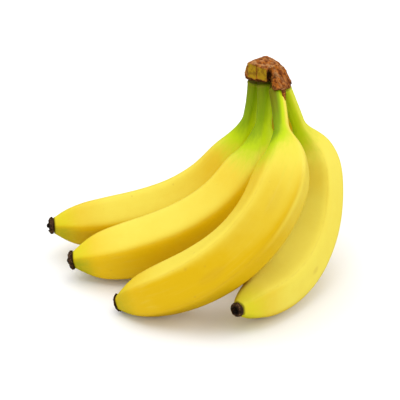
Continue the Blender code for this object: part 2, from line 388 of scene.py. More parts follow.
@dataclass(frozen=True)
class PeelFinish:
    """Waxy peel: yellow, green at the stalk and the tip, with faint streaks, specks and bruises, painted
    light on its tops and right sides, and painted shade between fruits and above the lip.
    """

    name: str
    shift: float
    # Painted light: the next two colours are the shaded copy and the lit copy of the ripe yellow.
    shaded_gold: tuple = (0.63, 0.395, 0.002, 1.0)
    pale_and_lit_lemon: tuple = (0.73, 0.61, 0.074, 1.0)
    buff: tuple = (0.68, 0.53, 0.10, 1.0)
    lime: tuple = (0.43, 0.55, 0.001, 1.0)
    leaf: tuple = (0.19, 0.30, 0.001, 1.0)
    olive: tuple = (0.145, 0.145, 0.001, 1.0)
    moss: tuple = (0.33, 0.33, 0.001, 1.0)
    # Painted light: the lit copy of the moss colour above.
    lit_sprout: tuple = (0.57, 0.58, 0.003, 1.0)
    # Painted shade between neighbouring fruits, with some browning where they touch: olive brown at the
    # stalks, amber lower down.
    dusk_shade: tuple = (0.045, 0.036, 0.001, 1.0)
    amber_shade: tuple = (0.38, 0.16, 0.001, 1.0)
    pale: tuple = (0.21, 0.18, 0.012, 1.0)
    # Umber: painted shade above the lip, and browning at the blossom end.
    umber: tuple = (0.060, 0.038, 0.002, 1.0)
    tan: tuple = (0.40, 0.20, 0.03, 1.0)
    roughness: float = 0.46
    specular: float = 0.10
    # Scale, size, share and strength of the fine specks and of the wide ones.
    specks: tuple = ((0.42, 0.20, 0.14, 0.10), (0.10, 0.12, 0.26, 0.22))

    def build(self, effects: Effects) -> Material:
        """Builds the material.

        Args:
            effects: The shared shader groups.

        Returns:
            The material.
        """
        graph = MaterialGraph(self.name)
        skin = graph.node("ShaderNodeAttribute", attribute_name=Attr.SKIN.value).outputs["Vector"]
        skin = graph.vector("ADD", skin, (self.shift, self.shift, self.shift))
        cloud = graph.effect(effects.mottle, Vector=skin, Scale=0.022, Contrast=1.9)
        streak = graph.effect(effects.grain, Vector=skin, Across=0.45, Along=0.02)
        fine = graph.effect(effects.grain, Vector=skin, Across=2.6, Along=0.16)
        rubbed = graph.times(graph.mask(Attr.BRUISE), graph.ease(fine, 0.30, 0.62, 0.35, 1.0))
        # Painted shade above the lip, and browning at the blossom end.
        shade = graph.times(graph.mask(Attr.LIP_SHADE_AND_TIP_BROWN), graph.ease(fine, 0.2, 0.5, 0.7, 1.0))
        colour = graph.coats(
            self._ripe(graph, cloud), (graph.ease(streak, 0.52, 0.76, 0.0, 0.14), self.buff),
            *self._unripe(graph, streak), self._seam_shade(graph), *self._marks(graph, effects, skin, fine),
            (rubbed, self.tan), (graph.mask(Attr.LIP), self.pale), (shade, self.umber))
        grooves = graph.plus(graph.times(streak, 0.55), graph.times(fine, 0.22))
        graph.bump(graph.calc("SUBTRACT", grooves, graph.times(rubbed, 0.25)), 0.14, 0.0006)
        dull = graph.plus(self.roughness, graph.swing(cloud, 0.10))
        return graph.dress(colour, graph.plus(dull, graph.times(rubbed, 0.2)), self.specular)

    def _ripe(self, graph: Graph, cloud: Socket) -> Socket:
        """Colours the ripe peel from shaded deep gold to lit pale lemon: painted light on tops and right
        sides, with each fruit's own paleness and random unevenness.
        """
        # Painted light: paler on the tops and right sides, mixed with random mottle.
        tone = graph.plus(graph.mask(Attr.PALE_AND_LIT), graph.swing(cloud, 0.35), clamp=True)
        return graph.mix(tone, self.shaded_gold, self.pale_and_lit_lemon)

    def _unripe(self, graph: Graph, streak: Socket) -> tuple:
        """Greens the peel.

        Args:
            graph: The material's graph.
            streak: Noise that runs along the fruit.

        Returns:
            The coats of green: lime, leaf and olive towards the crown, and moss round the blossom end, drawn
                brighter where painted light falls.
        """
        green = graph.plus(graph.mask(Attr.GREEN), graph.swing(streak, 0.22))
        moss = graph.times(graph.mask(Attr.MOSS), graph.ease(streak, 0.30, 0.62, 0.65, 1.0))
        # Painted light: the moss round the tip is drawn bright where the peel is painted as lit, dark where
        # painted as shaded.
        tip = graph.mix(graph.ease(graph.mask(Attr.PALE_AND_LIT), 0.02, 0.30), self.moss, self.lit_sprout)
        return ((graph.ease(green, 0.04, 0.46), self.lime), (graph.ease(green, 0.42, 0.80), self.leaf),
                (graph.ease(green, 0.74, 1.02), self.olive), (moss, tip))

    def _seam_shade(self, graph: Graph) -> tuple:
        """Gives the painted shade where two fruits lie close, with some browning where they touch: olive
        brown between the stalks, amber below.
        """
        # Painted shade between fruits, partly browning where they touch.
        deep = graph.mix(graph.ease(graph.mask(Attr.ALONG), 0.18, 0.34), self.dusk_shade, self.amber_shade)
        return graph.times(graph.mask(Attr.SEAM), 0.92), deep

    def _marks(self, graph: Graph, effects: Effects, skin: Socket, fine: Socket) -> list:
        """Marks the peel with brown.

        Args:
            graph: The material's graph.
            effects: The shared shader groups.
            skin: Place on the straight fruit.
            fine: Fine noise that runs along the fruit.

        Returns:
            The coats: a faint broken line along each ridge, and two sizes of specks.
        """
        line = graph.ease(graph.mask(Attr.RIDGE), 0.0, 0.09, 0.16, 0.0)
        coats = [(graph.times(line, graph.ease(fine, 0.42, 0.60)), self.tan)]
        for scale, size, share, strength in self.specks:
            dots = graph.effect(effects.fleck, Vector=skin, Scale=scale, Size=size, Share=share)
            coats.append((graph.times(dots, strength), self.tan))
        return coats


@dataclass(frozen=True)
class CrownFinish:
    """Torn brown fibre with fresh olive cuts and straw-dry edges, painted shade in its recesses, and painted
    orange glints.
    """

    name: str
    bark: tuple = (0.43, 0.125, 0.011, 1.0)
    rust: tuple = (0.18, 0.036, 0.003, 1.0)
    soot: tuple = (0.055, 0.012, 0.001, 1.0)
    # Painted highlight: the orange of the glints on the torn fibre.
    glint_orange: tuple = (0.62, 0.24, 0.045, 1.0)
    straw: tuple = (0.46, 0.25, 0.10, 1.0)
    cut: tuple = (0.37, 0.217, 0.002, 1.0)
    cut_dark: tuple = (0.24, 0.125, 0.001, 1.0)
    # Painted shade: the near-black colour of the crown's recesses and underside.
    pit_shade: tuple = (0.030, 0.012, 0.001, 1.0)
    torn_roughness: float = 0.82
    cut_roughness: float = 0.50
    specular: float = 0.12

    def build(self, effects: Effects) -> Material:
        """Builds the material.

        Args:
            effects: The shared shader groups.

        Returns:
            The material.
        """
        graph = MaterialGraph(self.name)
        spot = graph.node("ShaderNodeMapping", {
            "Vector": graph.node("ShaderNodeTexCoord").outputs["Object"], "Rotation": (0.65, 0.45, 0.0),
            "Scale": (1.0 / MM, 1.0 / MM, 1.0 / MM)}).outputs[0]
        cut = graph.mask(Attr.CUT)
        cloud = graph.effect(effects.mottle, Vector=spot, Scale=0.36, Contrast=3.4)
        fibre = graph.effect(effects.grain, Vector=spot, Across=1.3, Along=0.28)
        pores = graph.effect(effects.fleck, Vector=spot, Scale=0.75, Size=0.42, Share=0.5)
        # Painted highlights: small orange glints on the torn fibre.
        glints = graph.effect(effects.fleck, Vector=spot, Scale=0.95, Size=0.45, Share=0.35)
        straw = graph.times(graph.mask(Attr.STRAW), 0.75)
        dry = graph.plus(graph.ease(fibre, 0.60, 0.74, 0.0, 0.35), straw, clamp=True)
        colour = graph.coats(
            graph.mix(graph.ease(cloud, 0.30, 0.70), self.rust, self.bark),
            (graph.ease(fibre, 0.36, 0.47, 0.85, 0.0), self.soot), (dry, self.straw),
            (graph.times(pores, 0.55), self.soot), (graph.times(glints, 0.45), self.glint_orange),
            (cut, graph.mix(graph.ease(cloud, 0.25, 0.60), self.cut_dark, self.cut)),
            # Painted shade in the recesses, the crevices and under the crown.
            (graph.mask(Attr.HOLLOW_SHADE), self.pit_shade))
        strands = graph.times(fibre, graph.ease(cut, 0.0, 1.0, 1.0, 0.25))
        graph.bump(graph.plus(strands, graph.times(cloud, 0.6)), 0.9, 0.0007)
        roughness = graph.ease(cut, 0.0, 1.0, self.torn_roughness, self.cut_roughness)
        return graph.dress(colour, roughness, self.specular)


@dataclass(frozen=True)
class DriedFinish:
    """Dried blossom end: dark brown and brittle, paler at the rim."""

    name: str
    dark: tuple = (0.008, 0.004, 0.002, 1.0)
    brown: tuple = (0.080, 0.037, 0.016, 1.0)
    pale: tuple = (0.26, 0.15, 0.065, 1.0)
    roughness: float = 0.85
    specular: float = 0.12

    def build(self, effects: Effects) -> Material:
        """Builds the material.

        Args:
            effects: The shared shader groups.

        Returns:
            The material.
        """
        graph = MaterialGraph(self.name)
        spot = graph.scaled(graph.node("ShaderNodeTexCoord").outputs["Object"], 1.0 / MM)
        rim = graph.mask(Attr.RIM)
        cloud = graph.effect(effects.mottle, Vector=spot, Scale=0.55, Contrast=3.0)
        flecks = graph.effect(effects.fleck, Vector=spot, Scale=1.1, Size=0.45, Share=0.5)
        colour = graph.coats(
            self.dark, (graph.times(cloud, graph.ease(rim, 0.0, 0.4)), self.brown),
            (graph.times(graph.times(rim, flecks), 0.8), self.pale))
        graph.bump(cloud, 0.6, 0.0005)
        return graph.dress(colour, self.roughness, self.specular)


class Trees:
    """Geometry Nodes trees: peel relief, torn fibres and the flakes round a blossom end."""

    def __init__(self) -> None:
        """Builds every tree once."""
        self.relief = self._relief()
        self.fibres = self._fibres()
        self.flakes = self._flakes()

    @staticmethod
    def _start(name: str, inputs: dict) -> tuple[Graph, Items, Socket]:
        """Starts a tree that takes a geometry and a material and gives a geometry.

        Args:
            name: The tree's name.
            inputs: Labels of its other inputs with their first values or kinds.

        Returns:
            The tree's graph, the sockets of its inputs by label, and the socket of its output.
        """
        inputs = {"Geometry": "Geometry", **inputs, "Material": "Material"}
        graph, given, result = new_tree("GeometryNodeTree", name, ("Geometry", "Geometry"), inputs)
        graph.tree.is_modifier = True
        return graph, given, result

    @staticmethod
    def _close(graph: Graph, result: Socket, shape: Socket, material: Socket) -> Tree:
        """Ends a tree in Realize Instances and Set Material.

        Args:
            graph: The tree's graph.
            result: The socket of the tree's output.
            shape: The geometry.
            material: The material that it gets.

        Returns:
            The finished tree.
        """
        real = graph.node("GeometryNodeRealizeInstances", {0: shape})
        dressed = graph.node("GeometryNodeSetMaterial", {"Geometry": real.outputs[0], "Material": material})
        graph.feed(result, dressed.outputs[0])
        return graph.tree

    @staticmethod
    def _draw(graph: Graph, low: tuple, high: tuple, seed: Socket) -> Socket:
        """Draws a random vector between two others for each point."""
        return graph.node("FunctionNodeRandomValue", {0: low, 1: high, "Seed": seed},
                          data_type="FLOAT_VECTOR").outputs[0]

    @staticmethod
    def _place(graph: Graph, points: Socket, shape: Socket, aim: Socket, axis: str, size: Socket) -> Socket:
        """Puts copies of a shape on points.

        Args:
            graph: The tree's graph.
            points: The points.
            shape: The shape.
            aim: Direction that each copy's axis takes.
            axis: That axis, X or Z.
            size: Scale of each copy.

        Returns:
            The copies.
        """
        turn = graph.node("FunctionNodeAlignRotationToVector", {"Vector": aim}, axis=axis)
        return graph.node("GeometryNodeInstanceOnPoints", {
            "Points": points, "Instance": shape, "Rotation": turn.outputs[0], "Scale": size}).outputs[0]

    def _relief(self) -> Tree:
        """Gives a smooth peel its slight dents and its long soft furrows.

        Returns:
            A tree with Dents, Furrows, Seed and Material in.
        """
        graph, given, result = self._start("peel_relief", {"Dents": 0.0, "Furrows": 0.0, "Seed": 0.0})
        skin = graph.node("GeometryNodeInputNamedAttribute", {"Name": Attr.SKIN.value},
                          data_type="FLOAT_VECTOR").outputs[0]
        long = graph.vector("MULTIPLY", skin, (0.42, 0.42, 0.018))
        swings = []
        for place, scale, detail, amount in ((skin, 0.045, 2.0, "Dents"), (long, 1.0, 3.0, "Furrows")):
            made = graph.node("ShaderNodeTexNoise", {"Vector": place, "W": given["Seed"], "Scale": scale,
                                                     "Detail": detail}, noise_dimensions="4D")
            swings.append(graph.swing(made.outputs[0], given[amount]))
        push = graph.scaled(graph.node("GeometryNodeInputNormal").outputs[0], graph.plus(*swings))
        moved = graph.node("GeometryNodeSetPosition", {"Geometry": given["Geometry"], "Offset": push})
        return self._close(graph, result, moved.outputs[0], given["Material"])

    def _fibres(self) -> Tree:
        """Grows short torn fibres out of a surface where it is torn.

        Returns:
            A tree with Density, Length, Width, Seed, Lie and Material in.
        """
        graph, given, result = self._start("torn_fibres", {
            "Density": 0.0, "Length": 0.001, "Width": 0.0001, "Seed": 0, "Lie": (0.0, 0.0, -1.0)})
        torn = graph.node("GeometryNodeInputNamedAttribute", {"Name": Attr.TORN.value}, data_type="FLOAT")
        spread = graph.node("GeometryNodeDistributePointsOnFaces", {
            "Mesh": given["Geometry"], "Density": graph.times(torn.outputs[0], given["Density"]),
            "Seed": given["Seed"]})
        blade = graph.node("GeometryNodeMeshCone", {
            "Vertices": 4, "Side Segments": 2, "Radius Top": 0.0, "Radius Bottom": given["Width"],
            "Depth": given["Length"]})
        lean = graph.vector("ADD", graph.scaled(spread.outputs["Normal"], 0.55), given["Lie"])
        shake = self._draw(graph, (-0.35, -0.35, -0.35), (0.35, 0.35, 0.35), given["Seed"])
        size = graph.node("FunctionNodeRandomValue", {2: 0.35, 3: 1.1, "Seed": given["Seed"]},
                          data_type="FLOAT")
        grown = self._place(graph, spread.outputs["Points"], blade.outputs["Mesh"],
                            graph.vector("ADD", lean, shake), "Z", size.outputs[1])
        return self._close(graph, result, grown, given["Material"])

    def _flakes(self) -> Tree:
        """Lays a ring of dried flakes round the middle of a blossom end.

        Returns:
            A tree with Radius, Count, Size, Middle, Turn, Seed and Material in.
        """
        graph, given, result = self._start("dried_flakes", {
            "Radius": 0.003, "Count": 10, "Size": 0.001, "Middle": "Vector", "Turn": "Rotation", "Seed": 0})
        ring = graph.node("GeometryNodeMeshCircle", {"Vertices": given["Count"], "Radius": given["Radius"]})
        flake = graph.node("GeometryNodeMeshIcoSphere", {"Radius": given["Size"], "Subdivisions": 2})
        size = self._draw(graph, (0.45, 0.45, 0.35), (1.15, 0.85, 0.75), given["Seed"])
        outward = graph.node("GeometryNodeInputPosition").outputs[0]
        shift = self._draw(graph, (-0.0003, -0.0003, -0.0002), (0.0003, 0.0003, 0.0003), given["Seed"])
        loose = graph.node("GeometryNodeSetPosition", {"Geometry": ring.outputs[0], "Offset": shift})
        grown = self._place(graph, loose.outputs[0], flake.outputs["Mesh"], outward, "X", size)
        placed = graph.node("GeometryNodeTransform", {
            "Geometry": grown, "Translation": given["Middle"], "Rotation": given["Turn"]})
        return self._close(graph, result, placed.outputs[0], given["Material"])


def link(name: str, mesh: Mesh) -> Object:
    """Makes an object of a mesh and puts it in the scene.

    Args:
        name: The object's name.
        mesh: Its mesh.

    Returns:
        The object.
    """
    mesh.name = name
    obj = bpy.data.objects.new(name, mesh)
    bpy.context.scene.collection.objects.link(obj)
    return obj


def evaluated(obj: Object) -> Mesh:
    """Makes a plain mesh of an object as its modifiers leave it."""
    bpy.context.view_layer.update()
    graph = bpy.context.evaluated_depsgraph_get()
    return bpy.data.meshes.new_from_object(obj.evaluated_get(graph), depsgraph=graph)


def run_tree(obj: Object, tree: Tree, values: dict, name: str) -> Object:
    """Runs a Geometry Nodes tree on an object and keeps the result as a plain mesh.

    Args:
        obj: The object that the tree starts from, which is removed.
        tree: The tree.
        values: Input names with their values.
        name: Name of the new object.

    Returns:
        A new object with the result as its mesh.
    """
    modifier = obj.modifiers.new(tree.name, "NODES")
    modifier.node_group = tree
    for item in tree.interface.items_tree:
        if item.in_out == "INPUT" and item.name in values:
            modifier[item.identifier] = values[item.name]
    mesh, start = evaluated(obj), obj.data
    obj.modifiers.remove(modifier)
    bpy.data.objects.remove(obj)
    bpy.data.meshes.remove(start)
    return link(name, mesh)


@contextmanager
def edited(mesh: Mesh) -> Iterator[bmesh.types.BMesh]:
    """Lends a mesh in its form for editing, and writes it back.

    Args:
        mesh: The mesh.

    Returns:
        The form for editing, for as long as the block runs.
    """
    bm = bmesh.new()
    bm.from_mesh(mesh)
    yield bm
    bm.to_mesh(mesh)
    bm.free()


def store(mesh: Mesh, attr: Attr, values: Array) -> None:
    """Stores one number or one vector for each vertex."""
    kind, key = ("FLOAT_VECTOR", "vector") if values.ndim == 2 else ("FLOAT", "value")
    mesh.attributes.new(attr.value, kind, "POINT").data.foreach_set(key, values.astype(np.float32).ravel())


def vectors(items: Items, key: str) -> Array:
    """Reads one vector from each of a mesh's items, as rows."""
    flat = np.empty(len(items) * 3, dtype=np.float32)
    items.foreach_get(key, flat)
    return flat.reshape(-1, 3).astype(float)


def loft_mesh(name: str, rings: Array) -> Mesh:
    """Makes a closed mesh through rings of points, with a fan at each end.

    Args:
        name: The mesh's name.
        rings: Points in millimetres, by ring and by place round the ring.

    Returns:
        The mesh in metres. Its last two vertices are the middles of its ends.
    """
    rows, sides, _ = rings.shape
    points = np.vstack([rings.reshape(-1, 3), rings[0].mean(axis=0), rings[-1].mean(axis=0)])
    at = np.arange(rows * sides).reshape(rows, sides)
    after = np.roll(at, -1, axis=1)
    quads = np.stack([at[:-1], at[1:], after[1:], after[:-1]], axis=-1).reshape(-1, 4).tolist()
    first, last = rows * sides, rows * sides + 1
    fans = [(first, a, b) for a, b in zip(at[0].tolist(), after[0].tolist())]
    fans += [(last, b, a) for a, b in zip(at[-1].tolist(), after[-1].tolist())]
    mesh = bpy.data.meshes.new(name)
    mesh.from_pydata((points * MM).tolist(), [], quads + fans)
    with edited(mesh) as bm:
        bmesh.ops.recalc_face_normals(bm, faces=bm.faces)
    mesh.shade_smooth()
    return mesh


@dataclass(frozen=True)
class Bruise:
    """A rubbed spot on the peel, at a share of the length and an angle from the first ridge."""

    along: float
    angle: float
    length: float
    width: float
    strength: float


@dataclass
class Banana:
    """One fruit with its stalk, along a flat line that leaves the crown and bends."""

    node: str
    seed: float
    # Where the line starts, x and y of its first direction, the direction on the floor that it bends
    # towards, its whole bend, how early it bends, its turn back at the shoulder, and its length.
    stalk: tuple
    lean: tuple
    heading: float
    bend: float
    early: float
    kick: float
    length: float
    # Full radius, the tip's share of it, where the stalk starts to widen and over how long, and
    # the first ridge's angle.
    radius: float
    tip: float
    shoulder: tuple
    ridge: float
    # How green the neck and the tip are, how pale the peel is all over, and how much less green the neck is
    # drawn on its right, which is painted light on the side the light falls on.
    green: float
    tip_green: float
    pale: float
    lit_right_fade: float
    finish: PeelFinish
    bruises: tuple = ()
    inset: float = 0.12
    neighbours: list = field(default_factory=list)
    sides: int = 140
    rows: int = 250
    # The radius along the fruit, as shares of the full radius and of the length.
    stalk_share: float = 0.268
    tip_start: float = 0.55
    tip_power: float = 3.33
    blunt_end: float = 0.47
    cone_slope: float = 0.69
    cone_hollow: float = 0.1
    cone_blend: float = 7.4
    kick_at: float = 0.2
    kick_spread: float = 0.06
    # The stalk's buried end and the lip where it leaves the crown.
    stalk_in_crown: float = 6.0
    stalk_end: float = 0.70
    lip: float = 0.05
    lip_width: float = 0.8
    # The five-sided section, its slow sway along the fruit, and how round it gets at the tip and the neck.
    ridge_radius: float = 1.036
    ridges: int = 5
    sharpness: float = 8.0
    sway: float = 2.2
    sway_pace: float = 9.0
    round_tip: float = 0.30
    round_neck: float = 0.75
    # Where the rings crowd, how wide a stretch, and how many more stand there.
    crowding: tuple = ((0.2, 0.09, 1.6), (0.98, 0.04, 2.4))
    dents: float = 0.34
    furrows: float = 0.18
    # Shares of the length, and how green the neck is at each.
    neck_shares: tuple = (0.0, 0.09, 0.16, 0.22, 0.36)
    neck_greens: tuple = (1.0, 0.88, 0.66, 0.30, 0.0)
    # How far from a neighbour the painted shade between fruits reaches, at the stalk and at the belly.
    seam_shade_reach: tuple = (1.7, 4.0)
    # How strong the painted shade above the lip and the browned skin at the tip are, the pale lip, and the
    # moss lost on top.
    lip_shade: float = 0.85
    tip_brown: float = 0.60
    lip_pale: float = 0.6
    moss_loss: float = 0.35

    def radii(self, share: Array) -> Array:
        """Gives the radius in millimetres at shares of the length.

        Args:
            share: Shares of the length.

        Returns:
            The radius at each. The ridges stand a little further out.
        """
        v = np.clip((share - self.tip_start) / (1.0 - self.tip_start), 0.0, 1.0)
        belly = np.sqrt(1.0 - (1.0 - self.blunt_end ** 2) * v ** self.tip_power)
        left = np.maximum(1.0 - share, 0.0) * self.length
        cone = self.tip + self.cone_slope * left ** 2 / (left + self.cone_hollow) / self.radius
        taper = (belly ** -self.cone_blend + cone ** -self.cone_blend) ** (-1.0 / self.cone_blend)
        inside = np.clip(-share * self.length / self.stalk_in_crown, 0.0, 1.0)
        narrow = 1.0 - (1.0 - self.stalk_end) * inside
        lip = 1.0 + self.lip * hump(share * self.length, 0.0, self.lip_width)
        u = np.clip((share - self.shoulder[0]) / self.shoulder[1], 0.0, 1.0)
        rise = (1.0 - (1.0 - u) ** 3) ** 2
        widen = self.stalk_share + (1.0 - self.stalk_share) * rise
        return self.radius * widen * taper * narrow * lip

    def directions(self, share: Array) -> tuple[Array, Array]:
        """Gives the centre line's directions.

        Args:
            share: Shares of the length.

        Returns:
            The direction at each share, and the vector square to the line's plane.
        """
        x, y = self.lean
        start = np.array((x, y, -math.sqrt(1.0 - x * x - y * y)))
        heading = math.radians(self.heading)
        level = np.array((math.cos(heading), math.sin(heading), 0.0))
        inward = unit(level - start * (level @ start))
        done = (1.0 - np.cos(math.pi * share ** self.early)) / 2.0
        kick = self.kick * hump(share, self.kick_at, self.kick_spread)
        turn = np.radians(self.bend * done - kick)[:, None]
        return np.cos(turn) * start + np.sin(turn) * inward, np.cross(start, inward)

    def centre_line(self, share: Array, steps: int = 400) -> tuple[Array, Array, Array]:
        """Follows the centre line.

        Args:
            share: Shares of the length; under 0 runs straight back into the crown.
            steps: Number of short straight steps that the line is added up from.

        Returns:
            The points in millimetres in the frame, the unit directions, and the plane's normal.
        """
        ends = np.linspace(0.0, 1.0, steps + 1)
        along, square = self.directions(ends)
        middle = (along[1:] + along[:-1]) / 2.0
        path = np.vstack([np.zeros(3), np.cumsum(middle, axis=0)]) * self.length / steps
        inside = np.clip(share, 0.0, 1.0)
        points = np.stack([np.interp(inside, ends, path[:, k]) for k in range(3)], axis=1)
        heads, _ = self.directions(inside)
        points += np.minimum(share, 0.0)[:, None] * heads * self.length
        return points + np.array(self.stalk) + BUNCH_AT, heads, square

    def _section(self, angle: Array) -> Array:
        """Gives the shape of the five-sided section.

        Args:
            angle: Angles from a ridge in radians.

        Returns:
            The radius at each, 1 on the ridges.
        """
        step = TURN / self.ridges
        faces = [np.maximum(np.cos(angle - step * (k + 0.5)), 0.0) ** self.sharpness
                 for k in range(self.ridges)]
        on_ridge = 2.0 * math.cos(step / 2.0) ** self.sharpness
        return (sum(faces) / on_ridge) ** (-1.0 / self.sharpness)

    def _stations(self) -> Array:
        """Gives the shares of the length where the rings stand.

        Returns:
            The shares, from the buried end, close together at the lip, the shoulder and the tip.
        """
        even = np.linspace(0.0, 1.0, self.rows)
        crowd = 1.0 + sum(more * hump(even, at, width) for at, width, more in self.crowding)
        spread = np.concatenate([[0.0], np.cumsum((crowd[1:] + crowd[:-1]) / 2.0)])
        body = np.interp(even, spread / spread[-1], even)
        buried = np.linspace(-self.stalk_in_crown, -2.0, 7) / self.length
        lip = np.linspace(-1.6, 2.0, 13) / self.length
        return np.concatenate([buried, lip, body[body > 2.4 / self.length]])

    def mesh(self) -> Mesh:
        """Builds the fine peel with its attributes.

        Returns:
            The mesh in metres in the frame.
        """
        share = self._stations()
        points, heads, square = self.centre_line(share)
        sizes = self.radii(share) * self.ridge_radius - self.inset
        turn = circle(self.sides)
        first = math.radians(self.ridge) + np.radians(self.sway) * np.sin(share * self.sway_pace + self.seed)
        section = self._section(turn)
        rounded = np.maximum(self.round_tip * Ease(0.92, 1.0)(share),
                             self.round_neck * Ease(0.14, 0.30).out(share))
        rings = np.empty((len(share), self.sides, 3))
        for k, (point, head, size) in enumerate(zip(points, heads, sizes)):
            shape = section + (section.mean() - section) * rounded[k]
            rings[k] = point + spokes(turn + first[k], head, square) * (size * shape)[:, None]
        mesh = loft_mesh(self.node, rings)
        self._mark(mesh, share, turn, sizes)
        return mesh

    def _mark(self, mesh: Mesh, share: Array, turn: Array, sizes: Array) -> None:
        """Stores what the finish reads.

        Args:
            mesh: The loft.
            share: Share of the length of each ring.
            turn: Angle from the first ridge of each place round a ring.
            sizes: Radius of each ring.
        """
        along = np.concatenate([np.repeat(share, self.sides), [share[0], share[-1]]])
        angle = np.concatenate([np.tile(turn, len(share)), [0.0, 0.0]])
        size = np.concatenate([np.repeat(sizes, self.sides), [0.0, 0.0]])
        normals = vectors(mesh.vertex_normals, "vector")
        run = along * self.length
        # Painted shade above the lip, where the stalk goes into the crown; browned skin next to the blossom
        # end.
        shade_and_browned = np.maximum(self.lip_shade * Ease(0.5, 1.3)(-run),
                             self.tip_brown * Ease(-1.0, -0.1)(run - self.length))
        store(mesh, Attr.SKIN, np.stack([np.cos(angle) * size, np.sin(angle) * size, run], axis=1))
        store(mesh, Attr.ALONG, along.clip(0.0, 1.0))
        store(mesh, Attr.RIDGE, np.abs((angle * self.ridges / TURN + 0.5) % 1.0 - 0.5) * 2.0)
        store(mesh, Attr.GREEN, self._unripe(along.clip(0.0, 1.0), normals))
        # Painted light: the peel is drawn paler on top and on the right.
        store(mesh, Attr.PALE_AND_LIT, self._pale_and_lit(along, normals))
        store(mesh, Attr.MOSS, self.tip_green * Ease(0.90, 0.985)(along)
              * (1.0 - self.moss_loss * Ease(-0.35, 0.45)(normals[:, 2])))
        # Painted shade where a neighbouring fruit lies close.
        store(mesh, Attr.SEAM, self._seam_shade(vectors(mesh.vertices, "co") / MM, along, normals))
        store(mesh, Attr.LIP, self.lip_pale * hump(run, 0.1, 0.5))
        store(mesh, Attr.LIP_SHADE_AND_TIP_BROWN, shade_and_browned)
        store(mesh, Attr.BRUISE, self._bruised(along, angle, size))

    def _bruised(self, along: Array, angle: Array, size: Array) -> Array:
        """Gives how rubbed the skin is.

        Args:
            along: Shares of the length.
            angle: Angles from the first ridge.
            size: Radii there.

        Returns:
            The strength of the strongest bruise at each place.
        """
        marks = np.zeros(len(along))
        for bruise in self.bruises:
            away = (angle - math.radians(bruise.angle) + math.pi) % TURN - math.pi
            ahead = (along - bruise.along) * self.length
            reach = np.hypot(ahead / bruise.length, away * size / bruise.width)
            marks = np.maximum(marks, bruise.strength * Ease(0.3, 1.0).out(reach))
        return marks

    def _unripe(self, along: Array, normals: Array) -> Array:
        """Gives how green the peel is: most at the stalk and on its left, least on its right, where painted
        light makes it less green.

        Args:
            along: Shares of the length.
            normals: Unit normals there.

        Returns:
            0 where it is ripe, 1 where it is green.
        """
        neck = np.interp(along, self.neck_shares, self.neck_greens)
        # Painted light: the neck's right side, which faces the light, is drawn less green.
        neck = neck * (1.0 - self.lit_right_fade * Ease(-0.35, 0.75)(normals[:, 0]))
        neck = neck * (1.0 + 0.35 * Ease(0.0, 0.7)(-normals[:, 0]) * Ease(0.10, 0.22)(along))
        return np.clip(self.green * neck, 0.0, 1.0)

    def _pale_and_lit(self, along: Array, normals: Array) -> Array:
        """Gives how pale the peel is: each fruit's own paleness, plus painted light on top and on its right,
        less near the blossom end.

        Args:
            along: Shares of the length.
            normals: Unit normals there.

        Returns:
            0 where it is shaded gold, 1 where it is pale, by its own paleness and by painted light.
        """
        # Painted light: faces turned up and to the right are drawn paler.
        top = 0.95 * Ease(0.25, 0.90)(normals[:, 2])
        right = 0.8 * Ease(0.35, 0.85)(normals[:, 0]) * Ease(-0.5, 0.1)(normals[:, 2])
        return np.clip(self.pale + (top + right) * (1.0 - 0.55 * Ease(0.78, 0.96)(along)), 0.0, 1.0)

    def _seam_shade(self, spots: Array, along: Array, normals: Array) -> Array:
        """Finds where a neighbour lies close, for the painted shade between fruits.

        Args:
            spots: Points of the skin in millimetres.
            along: Their shares of the length.
            normals: Unit normals at them.

        Returns:
            1 where the skin touches and faces a neighbour, 0 some millimetres off or turned away.
        """
        near, far = self.seam_shade_reach
        reach = near + (far - near) * Ease(0.20, 0.40)(along)
        seam = np.zeros(len(spots))
        for other in self.neighbours:
            share = np.linspace(0.0, 1.0, 120)
            line, _, _ = other.centre_line(share)
            size = other.radii(share)
            for rows in np.array_split(np.arange(len(spots)), 16):
                gaps = line[None] - spots[rows, None]
                away = np.linalg.norm(gaps, axis=2)
                nearest = (away - size).argmin(axis=1)
                pick = np.arange(len(rows)), nearest
                facing = np.einsum("ij,ij->i", gaps[pick], normals[rows]) / away[pick]
                close = Ease(0.1, 1.0).out((away[pick] - size[nearest]) / reach[rows])
                seam[rows] = np.maximum(seam[rows], close * Ease(0.50, 0.92)(facing))
        return seam

    def build(self, effects: Effects, trees: Trees) -> Object:
        """Builds the fruit and keeps it above the floor.

        Args:
            effects: The shared shader groups.
            trees: The shared Geometry Nodes trees.

        Returns:
            The finished piece.
        """
        piece = run_tree(link(f"{self.node}_loft", self.mesh()), trees.relief, {
            "Dents": self.dents * MM, "Furrows": self.furrows * MM, "Seed": self.seed,
            "Material": self.finish.build(effects)}, f"{self.node}_peel")
        with edited(piece.data) as bm:
            for vert in bm.verts:
                vert.co.z = max(vert.co.z, 0.0)
        return piece


